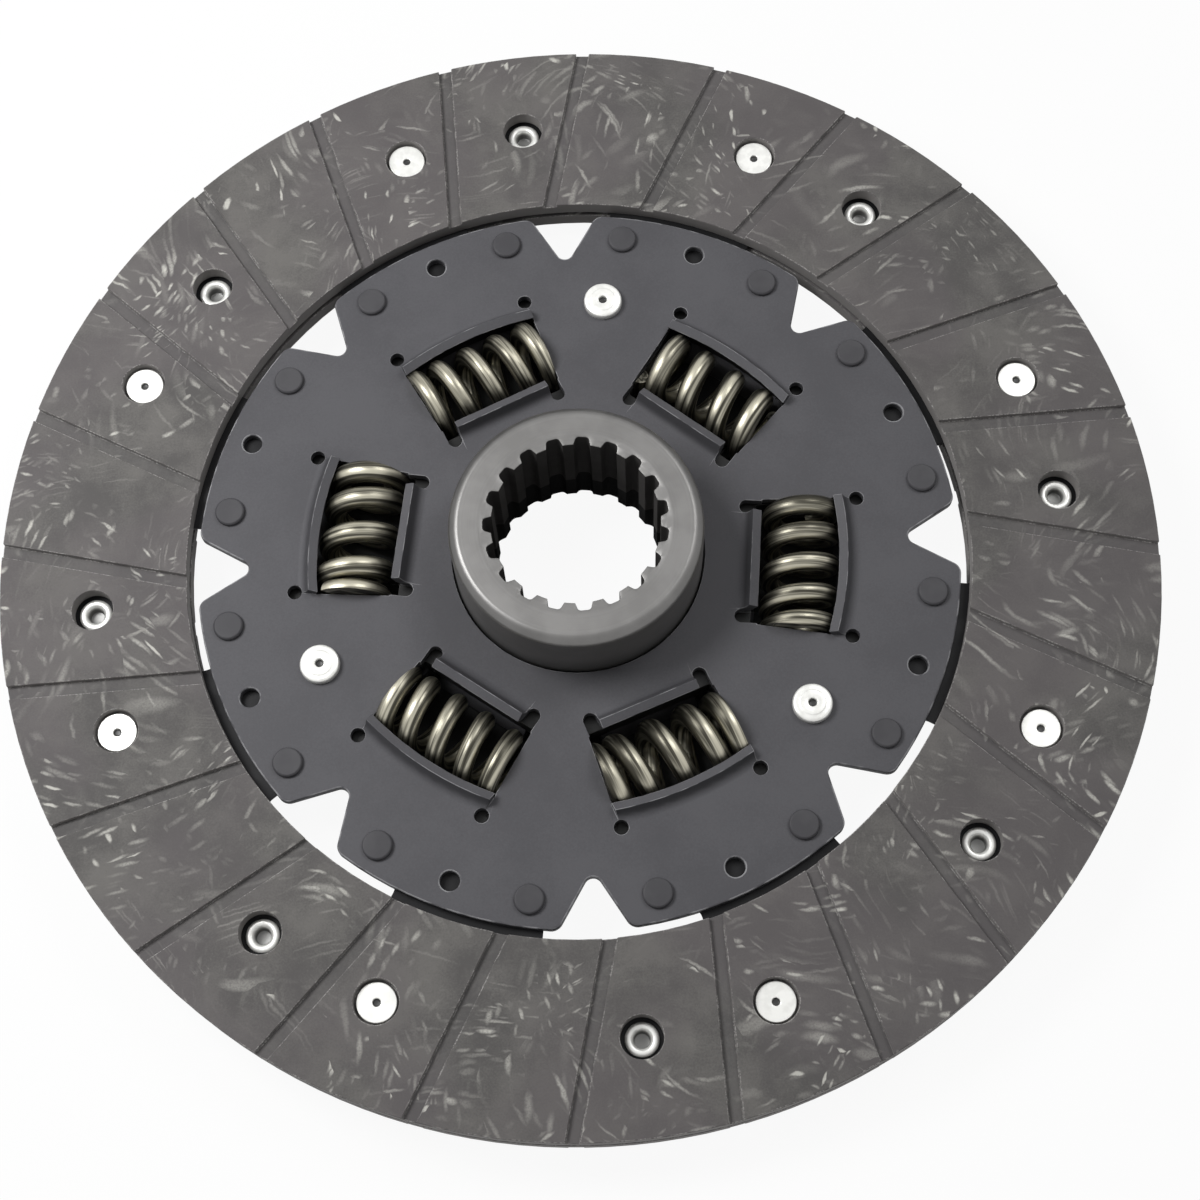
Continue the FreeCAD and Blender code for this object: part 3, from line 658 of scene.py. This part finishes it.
def makeStopPins(look):
    top, low = look["plateZ"] + look["rise"], look["coverZ"] - look["rearRise"]
    ledge, floor = top - look["stepRise"], top - look["pitDepth"]
    head, soft, shank, shoulder = look["head"], look["round"], look["shank"], look["shoulder"]
    outline = [
        (0, floor), (look["pit"] * 0.7, floor), (look["pit"], top), (look["step"], top),
        (look["step"] + look["stepRise"], ledge), (head - soft, ledge),
        (head - 0.3 * soft, ledge - 0.3 * soft), (head, ledge - soft), (head, look["plateZ"]),
        (shank, look["plateZ"]), (shank, look["plateRear"]), (shoulder, look["plateRear"]),
        (shoulder, look["coverFront"]), (shank, look["coverFront"]), (shank, look["coverZ"]),
        (head, look["coverZ"]), (head, low + look["edge"]), (head - look["edge"], low), (0, low),
    ]
    step = 360 / look["count"]
    places = [aroundAxis(look["radius"], look["angle"] + step * i) for i in range(look["count"])]
    mesh = repeated(spun(outline, look), places, "stopPins")
    weighted(newPiece("stop_pins_shape", mesh, "disc", ["stop_pins"], "zinc_rivet"))


makeStopPins(pinLook)
print("stop pins made")


# Damper springs: round wire, light and heavy by turns, closed at both ends and ground flat there
springLook = {
    "radius": 46.3, "z": -1.8, "outer": 16.8, "coilGap": 0.1, "steps": 56, "sides": 24, "near": (33.2, 13.35),
    "far": (53.99, 15.05), "keep": 0.775,
    "heavy": {"wire": 4.6, "pitch": 7.8, "turns": 4.5, "activeTurns": 2.48},
    "light": {"wire": 4.0, "pitch": 6.8, "turns": 4.86, "activeTurns": 3.3},
    "places": ((50.8, "heavy", -155), (113.8, "light", -18), (170.8, "heavy", -51), (233.8, "light", 69),
               (290.8, "heavy", 5), (353.8, "light", 13)),
}


def wound(look, kind, roll):
    coil = (look["outer"] - kind["wire"]) / 2
    endPitch = kind["wire"] + look["coilGap"]
    endTurns = (kind["turns"] - kind["activeTurns"]) / 2
    half = kind["activeTurns"] / 2 * kind["pitch"] + endTurns * endPitch
    start = math.radians(roll) - math.pi * kind["turns"]
    bm = bmesh.new()
    around = bm.verts.layers.float_vector.new("around")
    section = Matrix.Rotation(start, 4, "Y") @ Matrix.Translation((0, 0, coil * mm))
    section = Matrix.Translation((0, -half * mm, 0)) @ section @ Matrix.Rotation(math.pi / 2, 4, "Y")
    ring = bmesh.ops.create_circle(bm, cap_ends=False, segments=look["sides"], radius=kind["wire"] / 2 * mm,
                                   matrix=section)["verts"]
    for number, vert in enumerate(ring):
        turn = 2 * math.pi * number / look["sides"]
        vert[around] = (math.cos(turn), math.sin(turn), 0)
    bmesh.ops.contextual_create(bm, geom=bm.edges[:])
    geom = bm.verts[:] + bm.edges[:]
    for turns, pitch in ((endTurns, endPitch), (kind["activeTurns"], kind["pitch"]), (endTurns, endPitch)):
        steps = round(turns * look["steps"])
        rise = (0, turns * pitch * mm / steps, 0)
        done = bmesh.ops.spin(bm, geom=geom, cent=(0, 0, 0), axis=(0, 1, 0), dvec=rise, steps=steps,
                              angle=2 * math.pi * turns, use_merge=False, use_duplicate=False)
        geom = [item for item in done["geom_last"] if not isinstance(item, bmesh.types.BMFace)]
    bmesh.ops.contextual_create(bm, geom=[item for item in geom if isinstance(item, bmesh.types.BMEdge)])
    bmesh.ops.recalc_face_normals(bm, faces=bm.faces[:])
    return bm


def groundEnds(bm, look):
    (nearX, nearHalf), (farX, farHalf) = look["near"], look["far"]
    slope = (farHalf - nearHalf) / (farX - nearX)
    middle = nearHalf + slope * (look["radius"] - nearX)
    for side in (-1, 1):
        cut = bmesh.ops.bisect_plane(
            bm, geom=bm.verts[:] + bm.edges[:] + bm.faces[:], dist=1e-7, plane_co=(0, side * middle * mm, 0),
            plane_no=(-slope, side, 0), clear_outer=True)
        rim = [item for item in cut["geom_cut"] if isinstance(item, bmesh.types.BMEdge)]
        bmesh.ops.triangle_fill(bm, edges=rim, use_beauty=True, use_dissolve=True)


def makeSprings(look):
    for number, (angle, kind, roll) in enumerate(look["places"], 1):
        bm = wound(look, look[kind], roll)
        groundEnds(bm, look)
        place = aroundAxis(look["radius"], angle) @ Matrix.Translation((0, 0, look["z"] * mm))
        bmesh.ops.transform(bm, matrix=place, verts=bm.verts[:])
        node = "damper_spring_%d" % number
        piece = newPiece(node + "_shape", finished(bm, node), "damper_springs", [node], "spring_wire")
        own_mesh(piece)


makeSprings(springLook)
print("springs made")


# Floor, light and camera. The ring of floor right under the plates is a painted shadow: dark and without the
# glow, so their small holes look dark.
stageLook = {
    "floorSize": 12.0, "floor": (0.86, 0.86, 0.86, 1), "shade": (0.01, 0.01, 0.01, 1), "glow": 0.93,
    "roughness": 0.9, "world": 0.25, "white": (1, 1, 1, 1), "under": (0.0, 4.75, 0.0), "underFrom": 23.0,
    "underTo": 64.5,
}


# 1 for what the camera sees, straight or by way of metal or glass
def seenRays(tree):
    path = addNode(tree, "LightPath")
    seen = calc(tree, "MAXIMUM", path.outputs["Is Camera Ray"], path.outputs["Is Glossy Ray"])
    return calc(tree, "MAXIMUM", seen, path.outputs["Is Transmission Ray"])


def floorMaterial(look):
    made, tree, shader = newMaterial("paleFloor", roughness=look["roughness"])
    seen = seenRays(tree)
    radius, _ = cylindrical(tree, moved(tree, "SUBTRACT", millimetres(tree), look["under"]))
    bare = calc(tree, "MAXIMUM", calc(tree, "LESS_THAN", radius, look["underFrom"]),
                calc(tree, "GREATER_THAN", radius, look["underTo"]))
    tree.links.new(blended(tree, bare, look["shade"], look["floor"]), shader.inputs["Base Color"])
    glow = addNode(tree, "Emission", Color=look["white"], Strength=1.0)
    share = calc(tree, "MULTIPLY", calc(tree, "MULTIPLY", seen, bare), look["glow"])
    mix = addNode(tree, "MixShader", Fac=share)
    tree.links.new(shader.outputs[0], mix.inputs[1])
    tree.links.new(glow.outputs[0], mix.inputs[2])
    tree.links.new(mix.outputs[0], tree.nodes["Material Output"].inputs["Surface"])
    return made


def makeFloor(look):
    bpy.ops.mesh.primitive_plane_add(size=look["floorSize"], location=(0, 0, 0))
    floor = bpy.context.object
    floor.name = "floor"
    floor.data.transform(Matrix.Translation((0, 0, cadBox[0].z)))
    floor.data.materials.append(floorMaterial(look))


def makeWorld(look):
    world = bpy.data.worlds.new("studio")
    bpy.context.scene.world = world
    world.use_nodes = True
    tree = world.node_tree
    background = tree.nodes["Background"]
    background.inputs["Color"].default_value = look["white"]
    level = addNode(tree, "MapRange", Value=seenRays(tree))
    level.inputs["To Min"].default_value = look["world"]
    tree.links.new(level.outputs[0], background.inputs["Strength"])


lamps = [
    {"name": "keyLamp", "place": (-0.27, 0.09, 0.37), "size": 0.22, "power": 1.65},
    {"name": "fillLamp", "place": (0.42, 0.34, 0.72), "size": 0.40, "power": 1.9},
]


def makeLamp(look):
    data = bpy.data.lights.new(look["name"], "AREA")
    data.shape = "DISK"
    data.size = look["size"]
    data.energy = look["power"]
    lamp = bpy.data.objects.new(look["name"], data)
    lamp.location = look["place"]
    lamp.rotation_euler = (-Vector(look["place"])).to_track_quat("-Z", "Y").to_euler()
    bpy.context.scene.collection.objects.link(lamp)


cameraLook = {
    "place": (0.005566, -0.161109, 0.420882), "turn": (0.3449, 0.0034, -0.0492), "lens": 64.67,
    "sensor": 36.0, "nearest": 0.01,
}


def makeCamera(look):
    data = bpy.data.cameras.new("camera")
    data.lens = look["lens"]
    data.sensor_width = look["sensor"]
    data.clip_start = look["nearest"]
    camera = bpy.data.objects.new("camera", data)
    camera.location = look["place"]
    camera.rotation_mode = "ZYX"
    camera.rotation_euler = look["turn"]
    bpy.context.scene.collection.objects.link(camera)
    bpy.context.scene.camera = camera


makeFloor(stageLook)
makeWorld(stageLook)
for lampLook in lamps:
    makeLamp(lampLook)
makeCamera(cameraLook)
bpy.context.scene.view_settings.view_transform = "Standard"
print("stage, lamps and camera made")
